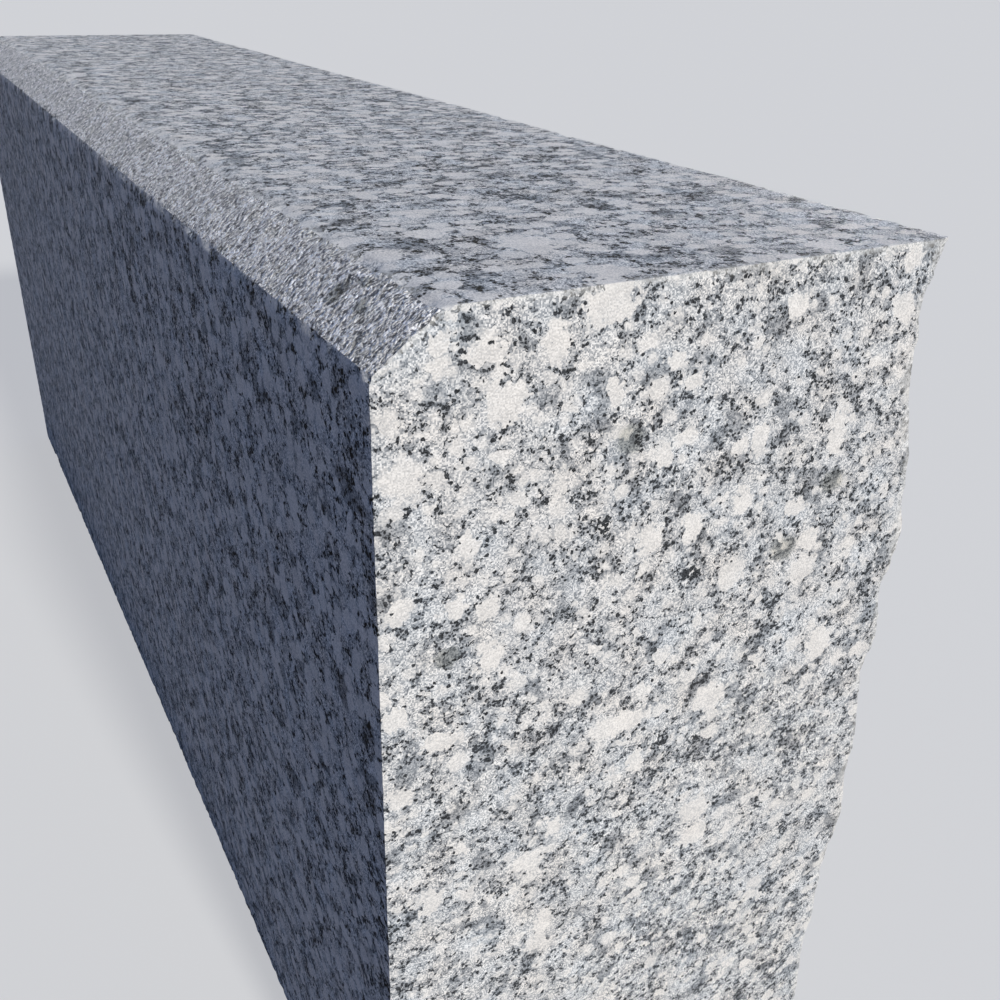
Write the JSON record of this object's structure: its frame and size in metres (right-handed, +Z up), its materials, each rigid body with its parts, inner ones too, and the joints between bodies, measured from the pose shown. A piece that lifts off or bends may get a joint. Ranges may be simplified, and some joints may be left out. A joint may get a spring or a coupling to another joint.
{
  "type": "granite kerb stone",
  "caption": "Sawn granite kerb stone, a long upright block with a narrow dressed chamfer along its front top edge and a rough split back",
  "frame": {"origin": "middle of the bed face, on the ground, halfway along the stone and halfway between the front face and the line of the back top arris", "axes": "+X along the kerb, with the end that the picture shows at +X, +Y from the front face to the split back, +Z up"},
  "size_m": [0.7, 0.1577, 0.3],
  "materials": {
    "granite": "light grey granite with pale feldspar and dark mica flecks: matt sawn faces, a finely pitted chamfer and a rough split back"
  },
  "bodies": {
    "root": {"kerb_stone": "granite"}
  },
  "joints": []
}
